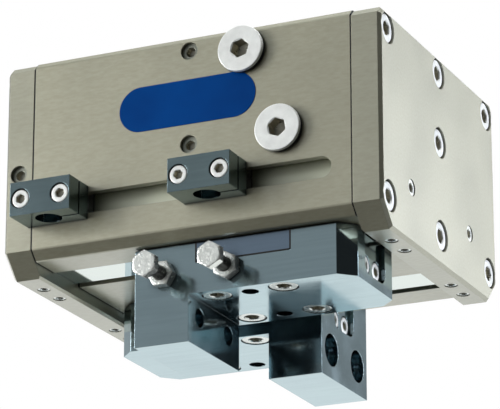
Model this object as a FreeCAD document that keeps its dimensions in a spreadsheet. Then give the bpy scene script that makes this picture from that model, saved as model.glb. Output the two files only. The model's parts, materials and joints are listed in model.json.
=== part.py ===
import FreeCAD, Part
import math
import os
import re
import Sketcher

# Pneumatic parallel gripper with two jaws, in millimetres, +Z up.
# The origin is the centre of the top mounting face, X is the jaws' stroke,
# and the front face of the housing looks along -Y.
# The front jaw's pieces are modelled once and turned half a turn for the rear.

os.makedirs("parts", exist_ok=True)
doc = FreeCAD.newDocument("ParallelGripper")

# Driving dimensions

SIZES = {
    # housing and end plates
    "housing_length": 120.0,
    "housing_depth": 90.0,
    "block_height": 61.6,
    "plate_thickness": 9.0,
    "plate_drop": 3.9,
    "plate_top_step": 0.5,
    "plate_corner": 6.8,
    "plate_edge_bevel": 1.0,
    "plate_foot_bevel": 0.7,
    "top_bevel": 2.0,
    "joint_bevel": 0.3,
    "cut_margin": 1.0,
    # common lines
    "guide_offset": 22.8,
    "jaw_rest": 14.8,
    "leg_stop_gap": 1.75,
    # cylinders and pistons
    "bore_diameter": 20.0,
    "bore_level": 0.276,
    "bore_recess": 1.5,
    "piston_end_gap": 0.7,
    "piston_head": 8.0,
    "piston_clearance": 0.05,
    "piston_relief": 1.0,
    "seal_width": 3.0,
    "seal_depth": 1.6,
    "seal_clearance": 0.03,
    "end_seal_width": 1.4,
    "end_seal_height": 0.9,
    "end_seal_margin": 1.0,
    # pinion and racks
    "tooth_module": 1.0,
    "pinion_teeth": 32,
    "addendum_factor": 0.8,
    "dedendum_factor": 1.25,
    "backlash": 0.4,
    "pressure_angle": 20.0,
    "gear_face": 12.0,
    "pinion_in_carriage": 4.4,
    "hub_diameter": 22.0,
    "journal_diameter": 8.0,
    "journal_clearance": 0.03,
    "pinion_air": 0.5,
    "pinion_floor_gap": 1.0,
    "flank_step": 0.1,
    "cover_diameter": 49.0,
    "cover_thickness": 5.0,
    "cover_boss": 18.0,
    "cover_boss_height": 3.0,
    "cover_clearance": 0.05,
    "cover_screw_edge": 3.7,
    "shaft_bush_diameter": 12.0,
    "shaft_bush_length": 6.0,
    "shaft_bush_sink": 1.0,
    "shaft_end_gap": 1.0,
    "shaft_foot_gap": 0.5,
    # base jaws on their guide rods
    "slide_clearance": 0.4,
    "carriage_outer": 9.2,
    "carriage_gap": 2.2,
    "carriage_level": 0.513,
    "carriage_foot": 5.0,
    "rod_diameter": 8.0,
    "rod_clearance": 0.03,
    "rod_air": 0.3,
    "rod_offset": 24.6,
    "rod_inset": 0.26,
    "rod_seat": 5.0,
    "guide_bush_diameter": 10.0,
    "guide_bush_length": 12.0,
    "channel_width": 15.7,
    "web_thickness": 1.5,
    "web_clearance": 0.2,
    "strip_recess": 0.65,
    "strip_thickness": 0.7,
    "strip_seat": 2.0,
    "foot_length": 29.2,
    "foot_height": 5.8,
    "foot_gap": 0.4,
    # bolted-on jaws
    "jaw_depth": 34.3,
    "grip_gap": 4.4,
    "leg_thickness": 17.05,
    "bar_gap": 2.7,
    "bar_height": 15.0,
    "leg_drop": 14.0,
    "end_chamfer": 4.6,
    "notch_clearance": 0.25,
    "jaw_screw_pitch": 20.8,
    "jaw_screw_rows": 23.8,
    "jaw_screw_length": 9.0,
    "dowel_diameter": 5.0,
    "dowel_length": 9.0,
    "dowel_recess": 4.5,
    "finger_hole_diameter": 5.8,
    "finger_sink_diameter": 10.0,
    "finger_sink_depth": 6.0,
    "finger_hole_pitch": 19.5,
    "finger_hole_drop": 5.2,
    "pocket_width": 14.5,
    "pocket_height": 12.3,
    "pocket_depth": 1.4,
    "pocket_round": 3.0,
    "end_screw_pitch": 7.5,
    "end_screw_drop": 9.0,
    "end_screw_length": 9.0,
    # switching bolts on the front jaw
    "cam_pitch": 20.3,
    "cam_shift": 14.55,
    "cam_drop": 8.6,
    "cam_reach": 13.5,
    "cam_thread": 4.0,
    "cam_thread_depth": 4.0,
    "cam_head_height": 2.8,
    "cam_head_flats": 7.0,
    "cam_nut_height": 3.2,
    # fasteners
    "plate_screw": 5.0,
    "plate_screw_head": 8.5,
    "plate_screw_height": 5.0,
    "plate_screw_key": 4.0,
    "plate_screw_length": 14.0,
    "plate_screw_sink": 9.4,
    "plate_screw_inset": 5.6,
    "plate_screw_upper": 5.7,
    "plate_screw_middle": 27.5,
    "plate_screw_foot": 5.4,
    "screw_hole_gap": 0.25,
    "head_sink": 0.2,
    "socket_share": 0.55,
    "sink_below": 0.5,
    "jaw_screw_sink": 8.9,
    "small_screw": 3.0,
    "small_screw_head": 5.5,
    "small_screw_height": 3.0,
    "small_screw_key": 2.5,
    "small_screw_sink": 6.1,
    "cover_screw_length": 3.8,
    # plugs
    "plug_socket_share": 0.5,
    "port_collar_diameter": 14.0,
    "port_collar_height": 2.7,
    "port_thread": 9.7,
    "port_thread_depth": 8.0,
    "port_key": 5.0,
    "port_key_depth": 4.0,
    "port_open_inset": 42.7,
    "port_open_drop": 7.7,
    "port_close_inset": 31.1,
    "port_above_groove": 13.15,
    "duct_plug": 5.4,
    "duct_plug_length": 4.0,
    "duct_plug_recess": 1.2,
    "duct_plug_key": 2.5,
    "front_plug_drop": 4.8,
    "plate_plug_drop": 34.7,
    "side_plug_offset": 23.0,
    "side_plug_rise": 13.0,
    "side_plug": 5.0,
    "side_plug_length": 2.2,
    "side_plug_recess": 0.3,
    "foot_plug": 4.0,
    "foot_plug_length": 4.0,
    "foot_plug_recess": 0.2,
    "foot_plug_key": 2.0,
    "foot_plug_inner": 18.2,
    "foot_plug_outer": 28.1,
    # mounting face
    "mount_hole": 5.0,
    "mount_depth": 10.0,
    "mount_span_x": 60.0,
    "mount_span_y": 77.0,
    "locating_hole": 4.0,
    "locating_depth": 6.0,
    # sensor groove and clamp blocks
    "groove_rise": 14.85,
    "groove_width": 6.4,
    "groove_lip": 2.4,
    "groove_inner_width": 9.4,
    "groove_inner_depth": 3.2,
    "groove_stop": 6.4,
    "clamp_width": 19.4,
    "clamp_height": 10.2,
    "clamp_depth": 11.5,
    "clamp_bore": 8.0,
    "clamp_bore_gap": 5.6,
    "clamp_slit": 0.7,
    "clamp_screw_pitch": 12.8,
    "clamp_screw_length": 11.2,
    "clamp_tongue": 0.8,
    "clamp_fit": 0.15,
    "clamp_left_inset": 8.9,
    "clamp_right_x": 8.6,
    "nut_length": 17.4,
    "nut_air": 0.05,
    "nut_side_gap": 0.3,
    "nut_back_gap": 0.2,
}

sheet = doc.addObject("Spreadsheet::Sheet", "Sizes")
for row, (alias, size) in enumerate(SIZES.items(), start=1):
    sheet.set(f"A{row}", alias)
    sheet.set(f"B{row}", str(size))
    sheet.setAlias(f"B{row}", alias)
doc.recompute()

# Lengths that follow from the driving dimensions

HALF_LENGTH = "(housing_length/2)"
HALF_DEPTH = "(housing_depth/2)"
BLOCK_END = f"({HALF_LENGTH} - plate_thickness)"
PLATE_FOOT = "(block_height + plate_drop)"
BLOCK_CORNER = "(plate_corner - plate_drop)"
PITCH_RADIUS = "(tooth_module*pinion_teeth/2)"
TOOTH_PITCH = "(tooth_module*pi)"
TIP_RADIUS = f"({PITCH_RADIUS} + addendum_factor*tooth_module)"
ROOT_RADIUS = f"({PITCH_RADIUS} - dedendum_factor*tooth_module)"
BORE_DROP = "(bore_level*block_height)"
RACK_TIP = f"({PITCH_RADIUS} - addendum_factor*tooth_module)"
CARRIAGE_SIDE = "(guide_offset + carriage_outer)"
CARRIAGE_TOP = "(carriage_level*block_height)"
CARRIAGE_FLOOR = "(block_height - carriage_foot)"
CARRIAGE_HALF = f"({BLOCK_END} - carriage_gap - jaw_rest)"
ROD_INSET = f"(rod_inset*({CARRIAGE_FLOOR} - {CARRIAGE_TOP}))"
ROD_DROPS = (f"({CARRIAGE_TOP} + {ROD_INSET})", f"({CARRIAGE_FLOOR} - {ROD_INSET})")
CAVITY_ROOF = f"({CARRIAGE_TOP} - slide_clearance)"
CAVITY_FLOOR = f"({CARRIAGE_FLOOR} + slide_clearance)"
CAVITY_SIDE = f"({CARRIAGE_SIDE} + slide_clearance)"
CAVITY_INNER = f"({RACK_TIP} - slide_clearance)"
CHANNEL_INNER = "(guide_offset - channel_width/2)"
CHANNEL_OUTER = "(guide_offset + channel_width/2)"
WEB_REACH = "(channel_width/2 - web_clearance)"
STRIP_HALF = f"({WEB_REACH} - web_thickness - web_clearance)"
STRIP_FACE = "(block_height - strip_recess)"
JAW_TOP = "(block_height + foot_gap)"
FOOT_FACE = f"({JAW_TOP} + foot_height)"
BAR_FACE = f"({JAW_TOP} + bar_height)"
LEG_FACE = f"({BAR_FACE} + leg_drop)"
JAW_FRONT = "(guide_offset + jaw_depth/2)"
JAW_BACK = "(guide_offset - jaw_depth/2)"
LEG_INNER_X = "(-grip_gap/2)"
LEG_OUTER_X = f"({LEG_INNER_X} - leg_thickness)"
BAR_END_X = f"({BLOCK_END} - bar_gap)"
STROKE = f"({BLOCK_END} + {LEG_OUTER_X} - leg_stop_gap)"
PISTON_HALF = f"({BLOCK_END} + bore_recess - piston_end_gap - jaw_rest)"
PINION_TOP = f"({BORE_DROP} - gear_face/2)"
PINION_LOW = f"({CARRIAGE_TOP} + pinion_in_carriage)"
PINION_CAVITY = f"({TIP_RADIUS} + pinion_air)"
PINION_FLOOR = f"({PINION_LOW} + gear_face + pinion_floor_gap)"
SHAFT_BUSH_TOP = f"({PINION_FLOOR} + shaft_bush_sink)"
SHAFT_BUSH_FLOOR = f"({SHAFT_BUSH_TOP} + shaft_bush_length)"
BOSS_FACE = "(cover_thickness + cover_boss_height)"
COVER_SCREW_RADIUS = "(cover_diameter/2 - cover_screw_edge)"
GROOVE_DROP = "(block_height - groove_rise)"
PORT_CLOSE_DROP = f"({GROOVE_DROP} - port_above_groove)"
GROOVE_END = f"({BLOCK_END} - groove_stop)"
SIDE_PLUG_DROP = "(block_height - side_plug_rise)"

# Rows of holes, screws and plugs

PORTS = ((f"({HALF_LENGTH} - port_open_inset)", "port_open_drop"),
         (f"({HALF_LENGTH} - port_close_inset)", PORT_CLOSE_DROP))
FRONT_PLUG_DROPS = ("front_plug_drop", PORT_CLOSE_DROP)
SCREW_ROW = f"({HALF_DEPTH} - plate_screw_inset)"
SCREW_LOW = "(block_height - plate_screw_foot)"
PLATE_SCREWS = [(f"{side}*{SCREW_ROW}", f"-{drop}")
                for side in (-1, 1) for drop in ("plate_screw_upper", SCREW_LOW)]
PLATE_SCREWS += [("0", f"-{drop}")
                 for drop in ("plate_screw_upper", "plate_screw_middle", SCREW_LOW)]
SCREW_SEAT = "(plate_thickness - sink_below - plate_screw_height)"
PLATE_THREAD = f"(plate_screw_length - {SCREW_SEAT})"
COVER_SCREWS = [(f"{COVER_SCREW_RADIUS}*cos({turn})", f"{COVER_SCREW_RADIUS}*sin({turn})")
                for turn in (45, 135, 225, 315)]
BORES = ("guide_offset", "-guide_offset")
FOOT_PLUGS = ("foot_plug_inner", "foot_plug_outer")
FOOT_PLUG_X = f"({HALF_LENGTH} - plate_thickness/2)"
END_SEAL_INNER = "(bore_diameter/2 + end_seal_margin)"
ROWS = [f"(-guide_offset {sign} jaw_screw_rows/2)" for sign in "-+"]
JAW_SCREWS = [(f"jaw_rest {sign} jaw_screw_pitch/2", row) for sign in "-+" for row in ROWS]
JAW_DOWELS = [("jaw_rest", row) for row in ROWS]
DOWEL_TOP = f"({BAR_FACE} - dowel_recess - dowel_length)"
JAW_SINK = "(plate_screw_height + head_sink)"
SINK_DEPTH = "(pocket_depth + small_screw_height)"
TAP_DEPTH = f"({SINK_DEPTH} + end_screw_length)"
END_FACES = (
    ("leg_pocket", LEG_OUTER_X, f"{LEG_OUTER_X} + pocket_depth",
     f"{LEG_OUTER_X} + pocket_depth", f"{LEG_OUTER_X} + {SINK_DEPTH}",
     f"{LEG_OUTER_X} + {SINK_DEPTH}", f"{LEG_OUTER_X} + {TAP_DEPTH}"),
    ("bar_pocket", f"{BAR_END_X} - pocket_depth", BAR_END_X,
     f"{BAR_END_X} - {SINK_DEPTH}", f"{BAR_END_X} - pocket_depth",
     f"{BAR_END_X} - {TAP_DEPTH}", f"{BAR_END_X} - {SINK_DEPTH}"),
)
END_SCREW_ROWS = [f"-guide_offset {sign} end_screw_pitch/2" for sign in "-+"]
END_SCREW_Z = f"-{JAW_TOP} - end_screw_drop"
CAM_Z = f"-{JAW_TOP} - cam_drop"
CAM_SPOTS = [f"jaw_rest - cam_shift {sign} cam_pitch/2" for sign in "-+"]
SEAL_MIDDLE = f"({PISTON_HALF} - piston_head/2)"
SEAL_OUTER = "(bore_diameter/2 - seal_clearance)"
SEAL_INNER = "(bore_diameter/2 - piston_clearance - seal_depth)"

# a rack tooth stands on the centre line at rest, and the gaps reach past the mesh at both ends
MESH_REACH = f"({PITCH_RADIUS}/2)"
GAPS_BEHIND = f"floor({MESH_REACH}/{TOOTH_PITCH})"
GAPS_AHEAD = f"floor(({STROKE} + {MESH_REACH})/{TOOTH_PITCH})"
FIRST_GAP = f"(-({GAPS_BEHIND} + 0.5)*{TOOTH_PITCH})"
GAP_COUNT = f"({GAPS_BEHIND} + {GAPS_AHEAD} + 2)"

ALIASES = re.compile(r"\b(" + "|".join(SIZES) + r")\b")


def ex(text):
    """The expression with each size read from the sheet."""
    return ALIASES.sub(r"Sizes.\1", str(text))


def num(text):
    """The expression's value now."""
    value = sheet.evalExpression(ex(text))
    return float(getattr(value, "Value", value))


def bind(obj, **sizes):
    """Tie properties of an object to expressions."""
    for prop, text in sizes.items():
        obj.setExpression(prop, ex(text))


def place(obj, x="0", y="0", z="0", turn=None):
    """Bind an object's place; turn is a rotation."""
    if turn is not None:
        obj.Placement = FreeCAD.Placement(FreeCAD.Vector(), turn)
    for axis, text in zip("xyz", (x, y, z)):
        obj.setExpression(f"Placement.Base.{axis}", ex(text))


X_AXIS = FreeCAD.Vector(1, 0, 0)
Y_AXIS = FreeCAD.Vector(0, 1, 0)
Z_AXIS = FreeCAD.Vector(0, 0, 1)
# turns that carry +Z to the named direction
TO_PLUS_X = FreeCAD.Rotation(Y_AXIS, 90)
TO_MINUS_X = FreeCAD.Rotation(Y_AXIS, -90)
TO_MINUS_Y = FreeCAD.Rotation(X_AXIS, 90)
TO_MINUS_Z = FreeCAD.Rotation(X_AXIS, 180)
HALF_TURN = FreeCAD.Rotation(Z_AXIS, 180)

PARTS = {}


def keep(obj, label):
    """Name a finished sub-part; its label is its file's name."""
    obj.Label = label
    PARTS[label] = obj
    return obj


# Sketches and features

PLANES = {"X": "YZ_Plane", "Y": "XZ_Plane", "Z": "XY_Plane"}


def origin_item(body, role):
    for item in body.Origin.OriginFeatures:
        if item.Role == role:
            return item


def corner(sketch, index, pos, tag, x, y):
    """Hold one point of a sketch at x, y from its origin."""
    made = sketch.addConstraint([
        Sketcher.Constraint("DistanceX", -1, 1, index, pos, num(x)),
        Sketcher.Constraint("DistanceY", -1, 1, index, pos, num(y)),
    ])
    for constraint, axis, text in zip(made, "xy", (x, y)):
        name = f"{tag}_{axis}"
        sketch.renameConstraint(constraint, name)
        if isinstance(text, str):
            sketch.setExpression(f"Constraints.{name}", ex(text))


def draw_polygon(sketch, tag, points):
    spots = [FreeCAD.Vector(num(x), num(y), 0) for x, y in points]
    first = sketch.GeometryCount
    sketch.addGeometry([Part.LineSegment(spots[i], spots[(i + 1) % len(spots)])
                        for i in range(len(spots))])
    sketch.addConstraint([Sketcher.Constraint("Coincident", first + i, 2,
                                              first + (i + 1) % len(spots), 1)
                          for i in range(len(spots))])
    for i, (x, y) in enumerate(points):
        corner(sketch, first + i, 1, f"{tag}_{i}", x, y)


def draw_circle(sketch, tag, x, y, radius):
    spot = FreeCAD.Vector(num(x), num(y), 0)
    index = sketch.addGeometry(Part.Circle(spot, Z_AXIS, num(radius)))
    corner(sketch, index, 3, tag, x, y)
    held = sketch.addConstraint(Sketcher.Constraint("Radius", index, num(radius)))
    sketch.renameConstraint(held, f"{tag}_r")
    sketch.setExpression(f"Constraints.{tag}_r", ex(radius))


def sketch_on(body, name, axis, start, outlines):
    """A sketch across an axis. Each outline is a list of corners or (x, y, radius)."""
    sketch = body.newObject("Sketcher::SketchObject", name)
    sketch.AttachmentSupport = [(origin_item(body, PLANES[axis]), "")]
    sketch.MapMode = "FlatFace"
    # the XZ plane looks along -Y
    offset = f"-({start})" if axis == "Y" else start
    sketch.setExpression("AttachmentOffset.Base.z", ex(offset))
    for count, outline in enumerate(outlines):
        if isinstance(outline, tuple):
            draw_circle(sketch, f"c{count}", *outline)
        else:
            draw_polygon(sketch, f"p{count}", outline)
    return sketch


def slab(body, name, axis, start, end, outlines, cut=False):
    """Pad or pocket the outlines from start to end along an axis."""
    sketch = sketch_on(body, name + "_sketch", axis, start, outlines)
    kind = "PartDesign::Pocket" if cut else "PartDesign::Pad"
    feature = body.newObject(kind, name)
    feature.Profile = sketch
    feature.Reversed = (axis != "Y") if cut else (axis == "Y")
    bind(feature, Length=f"({end}) - ({start})")
    sketch.Visibility = False
    return feature


def turned(body, name, plane, outline, axis_role, cut=False):
    """Turn an outline a full turn about an origin axis."""
    sketch = sketch_on(body, name + "_sketch", plane, "0", [outline])
    kind = "PartDesign::Groove" if cut else "PartDesign::Revolution"
    feature = body.newObject(kind, name)
    feature.Profile = sketch
    feature.ReferenceAxis = (origin_item(body, axis_role), [""])
    feature.Angle = 360
    return feature


def repeat_line(body, name, feature, step, count):
    """Repeat a feature along X."""
    pattern = body.newObject("PartDesign::LinearPattern", name)
    pattern.Originals = [feature]
    pattern.Direction = (origin_item(body, "X_Axis"), [""])
    bind(pattern, Length=f"{step}*({count} - 1)", Occurrences=count)
    body.Tip = pattern
    return pattern


def repeat_round(body, name, feature, count):
    pattern = body.newObject("PartDesign::PolarPattern", name)
    pattern.Originals = [feature]
    pattern.Axis = (origin_item(body, "Z_Axis"), [""])
    pattern.Angle = 360
    bind(pattern, Occurrences=count)
    body.Tip = pattern
    return pattern


def bevel(body, name, base, size, *tests):
    """Chamfer each edge of a feature whose end points all pass one of the tests."""
    doc.recompute()
    edges = [f"Edge{i}" for i, edge in enumerate(base.Shape.Edges, start=1)
             if any(all(test(vertex.Point) for vertex in edge.Vertexes) for test in tests)]
    feature = body.newObject("PartDesign::Chamfer", name)
    feature.Base = (base, edges)
    bind(feature, Size=size)
    return feature


def near(value, text):
    return abs(value - num(text)) < 1e-4


def box_outline(low_x, low_y, high_x, high_y):
    return [(low_x, low_y), (high_x, low_y), (high_x, high_y), (low_x, high_y)]


def new_body(name):
    return doc.addObject("PartDesign::Body", name)


# Fasteners: one master of each, linked wherever one sits

def cylinder(name, radius, height, z="0"):
    obj = doc.addObject("Part::Cylinder", name)
    bind(obj, Radius=radius, Height=height)
    place(obj, z=z)
    return obj


def ring(name, outer, inner, height):
    """A plain ring standing on the XY plane."""
    obj = doc.addObject("Part::Cut", name)
    obj.Base = cylinder(name + "_outside", outer, height)
    obj.Tool = cylinder(name + "_hole", inner, height)
    return obj


def hexagon(name, flats, height, z="0"):
    obj = doc.addObject("Part::Prism", name)
    obj.Polygon = 6
    bind(obj, Circumradius=f"{flats}/2/cos(30)", Height=height)
    place(obj, z=z)
    return obj


def cap_screw(name, thread, head, height, key, length):
    """A socket head screw: head's top at the origin, shank along -Z."""
    whole = doc.addObject("Part::Fuse", name + "_blank")
    whole.Base = cylinder(name + "_head", f"{head}/2", height, f"-({height})")
    whole.Tool = cylinder(name + "_shank", f"{thread}/2", length, f"-({height}) - ({length})")
    screw = doc.addObject("Part::Cut", name)
    screw.Base = whole
    screw.Tool = hexagon(name + "_socket", key, f"{height}*socket_share", f"-({height})*socket_share")
    return screw


def socket_plug(name, thread, length, key):
    """A headless plug: its face at the origin, its body along -Z."""
    plug = doc.addObject("Part::Cut", name)
    plug.Base = cylinder(name + "_body", f"{thread}/2", length, f"-({length})")
    depth = f"({length}*plug_socket_share)"
    plug.Tool = hexagon(name + "_socket", key, depth, f"-{depth}")
    return plug


def copies(label, master, spots, turn=None):
    """Copies of a master, each at (x, y, z) or (x, y, z, turn), as one sub-part."""
    links = []
    for count, spot in enumerate(spots, start=1):
        link = doc.addObject("App::Link", f"{label}_{count}")
        link.LinkedObject = master
        link.LinkTransform = False
        place(link, *spot[:3], turn=spot[3] if len(spot) > 3 else turn)
        links.append(link)
    group = doc.addObject("Part::Compound", label)
    group.Links = links
    return keep(group, label)


def mirrored(points):
    """The outline reflected across its first axis's zero."""
    return [(f"-({x})", y) for x, y in points]


# Housing block: an extrusion with two cylinders, two guide tunnels and a pinion well

def housing_block():
    body = new_body("HousingBlock")
    side, roof_edge = HALF_DEPTH, f"{HALF_DEPTH} - top_bevel"
    foot_edge = f"{HALF_DEPTH} - {BLOCK_CORNER}"
    outline = [
        (f"-({roof_edge})", "0"), (roof_edge, "0"),
        (side, "-top_bevel"), (side, f"-block_height + {BLOCK_CORNER}"),
        (foot_edge, "-block_height"), (f"-({foot_edge})", "-block_height"),
        (f"-{side}", f"-block_height + {BLOCK_CORNER}"), (f"-{side}", "-top_bevel"),
    ]
    blank = slab(body, "block", "X", f"-{BLOCK_END}", BLOCK_END, [outline])
    bevel(body, "joint_lines", blank, "joint_bevel",
          lambda p: near(abs(p.x), BLOCK_END))
    tunnel = [
        (CAVITY_INNER, f"-{CAVITY_ROOF}"), (CAVITY_SIDE, f"-{CAVITY_ROOF}"),
        (CAVITY_SIDE, f"-{CAVITY_FLOOR}"), (CHANNEL_OUTER, f"-{CAVITY_FLOOR}"),
        (CHANNEL_OUTER, "-block_height - cut_margin"), (CHANNEL_INNER, "-block_height - cut_margin"),
        (CHANNEL_INNER, f"-{CAVITY_FLOOR}"), (CAVITY_INNER, f"-{CAVITY_FLOOR}"),
    ]
    slab(body, "tunnels", "X", f"-{BLOCK_END}", BLOCK_END, [
        tunnel, mirrored(tunnel),
        ("guide_offset", f"-{BORE_DROP}", "bore_diameter/2"),
        ("-guide_offset", f"-{BORE_DROP}", "bore_diameter/2"),
    ], cut=True)
    well = [
        ("0", "0"), ("cover_diameter/2", "0"), ("cover_diameter/2", "-cover_thickness"),
        (PINION_CAVITY, "-cover_thickness"), (PINION_CAVITY, f"-{PINION_FLOOR}"),
        ("shaft_bush_diameter/2", f"-{PINION_FLOOR}"),
        ("shaft_bush_diameter/2", f"-{SHAFT_BUSH_FLOOR}"), ("0", f"-{SHAFT_BUSH_FLOOR}"),
    ]
    turned(body, "pinion_well", "Y", well, "Z_Axis", cut=True)
    lip, floor = f"-{HALF_DEPTH} + groove_lip", f"-{HALF_DEPTH} + groove_lip + groove_inner_depth"
    for name, start, end, width in (
            ("groove_mouth", f"-{HALF_DEPTH}", lip, "groove_width"),
            ("groove_undercut", lip, floor, "groove_inner_width")):
        slab(body, name, "Y", start, end, [box_outline(
            f"-{BLOCK_END}", f"-{GROOVE_DROP} - {width}/2",
            f"{GROOVE_END} - groove_width/2", f"-{GROOVE_DROP} + {width}/2")], cut=True)
        slab(body, name + "_end", "Y", start, end, [
            (f"{GROOVE_END} - groove_width/2", f"-{GROOVE_DROP}", f"{width}/2")], cut=True)
    slab(body, "ports", "Y", f"-{HALF_DEPTH}", f"-{HALF_DEPTH} + port_thread_depth", [
        (x, f"-{drop}", "port_thread/2") for x, drop in PORTS], cut=True)
    slab(body, "duct_holes", "Y", f"-{HALF_DEPTH}",
         f"-{HALF_DEPTH} + duct_plug_recess + duct_plug_length",
         [("0", f"-{drop}", "duct_plug/2") for drop in FRONT_PLUG_DROPS], cut=True)
    corners = [(f"{sx}*mount_span_x/2", f"{sy}*mount_span_y/2")
               for sx in (-1, 1) for sy in (-1, 1)]
    slab(body, "mounting_holes", "Z", "-mount_depth", "0",
         [(x, y, "mount_hole/2") for x, y in corners], cut=True)
    slab(body, "locating_holes", "Z", "-locating_depth", "0",
         [(f"{sx}*mount_span_x/2", "0", "locating_hole/2") for sx in (-1, 1)], cut=True)
    for name, start, end in (
            ("left_threads", f"-{BLOCK_END}", f"-{BLOCK_END} + {PLATE_THREAD}"),
            ("right_threads", f"{BLOCK_END} - {PLATE_THREAD}", BLOCK_END)):
        slab(body, name, "X", start, end,
             [(y, z, "plate_screw/2") for y, z in PLATE_SCREWS], cut=True)
    slab(body, "cover_threads", "Z", "-cover_thickness - cover_screw_length", "-cover_thickness",
         [(x, y, "small_screw/2") for x, y in COVER_SCREWS], cut=True)
    return keep(body, "housing_block")


# End plates: chamfered covers that close the cylinders and hold the guide rods

def end_plate(label, side):
    """side is 1 for the right plate and -1 for the left."""
    body = new_body(label)
    half, foot_edge = HALF_DEPTH, f"{HALF_DEPTH} - plate_corner"
    roof, roof_edge = "-plate_top_step", f"{HALF_DEPTH} - top_bevel"
    outline = [
        (f"-({roof_edge})", roof), (roof_edge, roof),
        (half, f"{roof} - top_bevel"), (half, f"-{PLATE_FOOT} + plate_corner"),
        (foot_edge, f"-{PLATE_FOOT}"), (f"-({foot_edge})", f"-{PLATE_FOOT}"),
        (f"-{half}", f"-{PLATE_FOOT} + plate_corner"), (f"-{half}", f"{roof} - top_bevel"),
    ]

    def span(inner, outer):
        """Start and end along X of a cut between two depths from the inner face."""
        if side > 0:
            return f"{BLOCK_END} + {inner}", f"{BLOCK_END} + {outer}"
        return f"-{BLOCK_END} - ({outer})", f"-{BLOCK_END} - ({inner})"

    blank = slab(body, "plate", "X", *span("0", "plate_thickness"), [outline])
    rim = bevel(body, "outer_bevel", blank, "plate_edge_bevel",
                lambda p: near(abs(p.x), HALF_LENGTH))
    bevel(body, "foot_bevel", rim, "plate_foot_bevel",
          lambda p: near(abs(p.x), BLOCK_END) and near(p.z, f"-{PLATE_FOOT}"))
    slab(body, "cylinder_recess", "X", *span("0", "bore_recess"),
         [(y, f"-{BORE_DROP}", "bore_diameter/2") for y in BORES], cut=True)
    slab(body, "seal_groove", "X", *span("0", "end_seal_height"),
         [(y, f"-{BORE_DROP}", f"{END_SEAL_INNER} + end_seal_width") for y in BORES], cut=True)
    seat = "rod_seat"
    slab(body, "rod_seats", "X", *span("0", seat),
         [(f"{sy}*rod_offset", f"-{drop}", "rod_diameter/2")
          for sy in (-1, 1) for drop in ROD_DROPS], cut=True)
    for sy, name in ((-1, "front_strip_slot"), (1, "rear_strip_slot")):
        slab(body, name, "X", *span("0", "strip_seat"), [box_outline(
            f"{sy}*guide_offset - {STRIP_HALF}", f"-{STRIP_FACE}",
            f"{sy}*guide_offset + {STRIP_HALF}", f"-{STRIP_FACE} + strip_thickness")], cut=True)
    slab(body, "screw_holes", "X", *span("0", "plate_thickness"),
         [(y, z, "plate_screw/2 + screw_hole_gap") for y, z in PLATE_SCREWS], cut=True)
    slab(body, "screw_sinks", "X", *span(SCREW_SEAT, "plate_thickness"),
         [(y, z, "plate_screw_sink/2") for y, z in PLATE_SCREWS], cut=True)
    slab(body, "side_plug_holes", "X",
         *span("plate_thickness - side_plug_recess - side_plug_length", "plate_thickness"),
         [(f"{sy}*side_plug_offset", f"-{SIDE_PLUG_DROP}", "side_plug/2") for sy in (-1, 1)],
         cut=True)
    slab(body, "foot_plug_holes", "Z", f"-{PLATE_FOOT}",
         f"-{PLATE_FOOT} + foot_plug_recess + foot_plug_length",
         [(f"{side}*{FOOT_PLUG_X}", f"{sy}*{offset}", "foot_plug/2")
          for sy in (-1, 1) for offset in FOOT_PLUGS], cut=True)
    if side < 0:
        slab(body, "front_plug_hole", "Y", f"-{HALF_DEPTH}",
             f"-{HALF_DEPTH} + duct_plug_recess + duct_plug_length",
             [(f"-{FOOT_PLUG_X}", "-plate_plug_drop", "duct_plug/2")], cut=True)
    return keep(body, label)


housing_block()
end_plate("left_end_plate", -1)
end_plate("right_end_plate", 1)

# Housing fasteners and plugs

plate_screw = cap_screw("plate_screw_master", "plate_screw", "plate_screw_head",
                        "plate_screw_height", "plate_screw_key", "plate_screw_length")
for label, side, turn in (("left_plate_screws", "-1", TO_MINUS_X),
                          ("right_plate_screws", "1", TO_PLUS_X)):
    copies(label, plate_screw,
           [(f"{side}*({HALF_LENGTH} - sink_below)", y, z) for y, z in PLATE_SCREWS], turn)

foot_plug = socket_plug("foot_plug_master", "foot_plug", "foot_plug_length", "foot_plug_key")
copies("plate_foot_plugs", foot_plug,
       [(f"{sx}*{FOOT_PLUG_X}", f"{sy}*{offset}", f"-{PLATE_FOOT} + foot_plug_recess")
        for sx in (-1, 1) for sy in (-1, 1) for offset in FOOT_PLUGS], TO_MINUS_Z)

side_plug = socket_plug("side_plug_master", "side_plug", "side_plug_length", "duct_plug_key")
copies("plate_side_plugs", side_plug,
       [(f"{sx}*({HALF_LENGTH} - side_plug_recess)", f"{sy}*side_plug_offset",
         f"-{SIDE_PLUG_DROP}", turn)
        for sx, turn in ((-1, TO_MINUS_X), (1, TO_PLUS_X)) for sy in (-1, 1)])

duct_plug = socket_plug("duct_plug_master", "duct_plug", "duct_plug_length", "duct_plug_key")
DUCT_FACE = f"-{HALF_DEPTH} + duct_plug_recess"
copies("front_duct_plugs", duct_plug,
       [("0", DUCT_FACE, f"-{drop}") for drop in FRONT_PLUG_DROPS]
       + [(f"-{FOOT_PLUG_X}", DUCT_FACE, "-plate_plug_drop")], TO_MINUS_Y)


def port_plug():
    """A collared plug: the collar stands on the XY plane, the thread goes down."""
    blank = doc.addObject("Part::Fuse", "port_plug_blank")
    blank.Base = cylinder("port_collar", "port_collar_diameter/2", "port_collar_height")
    blank.Tool = cylinder("port_shank", "port_thread/2", "port_thread_depth", "-port_thread_depth")
    plug = doc.addObject("Part::Cut", "port_plug_master")
    plug.Base = blank
    plug.Tool = hexagon("port_socket", "port_key", "port_key_depth",
                        "port_collar_height - port_key_depth")
    return plug


copies("air_port_plugs", port_plug(),
       [(x, f"-{HALF_DEPTH}", f"-{drop}") for x, drop in PORTS], TO_MINUS_Y)

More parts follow.
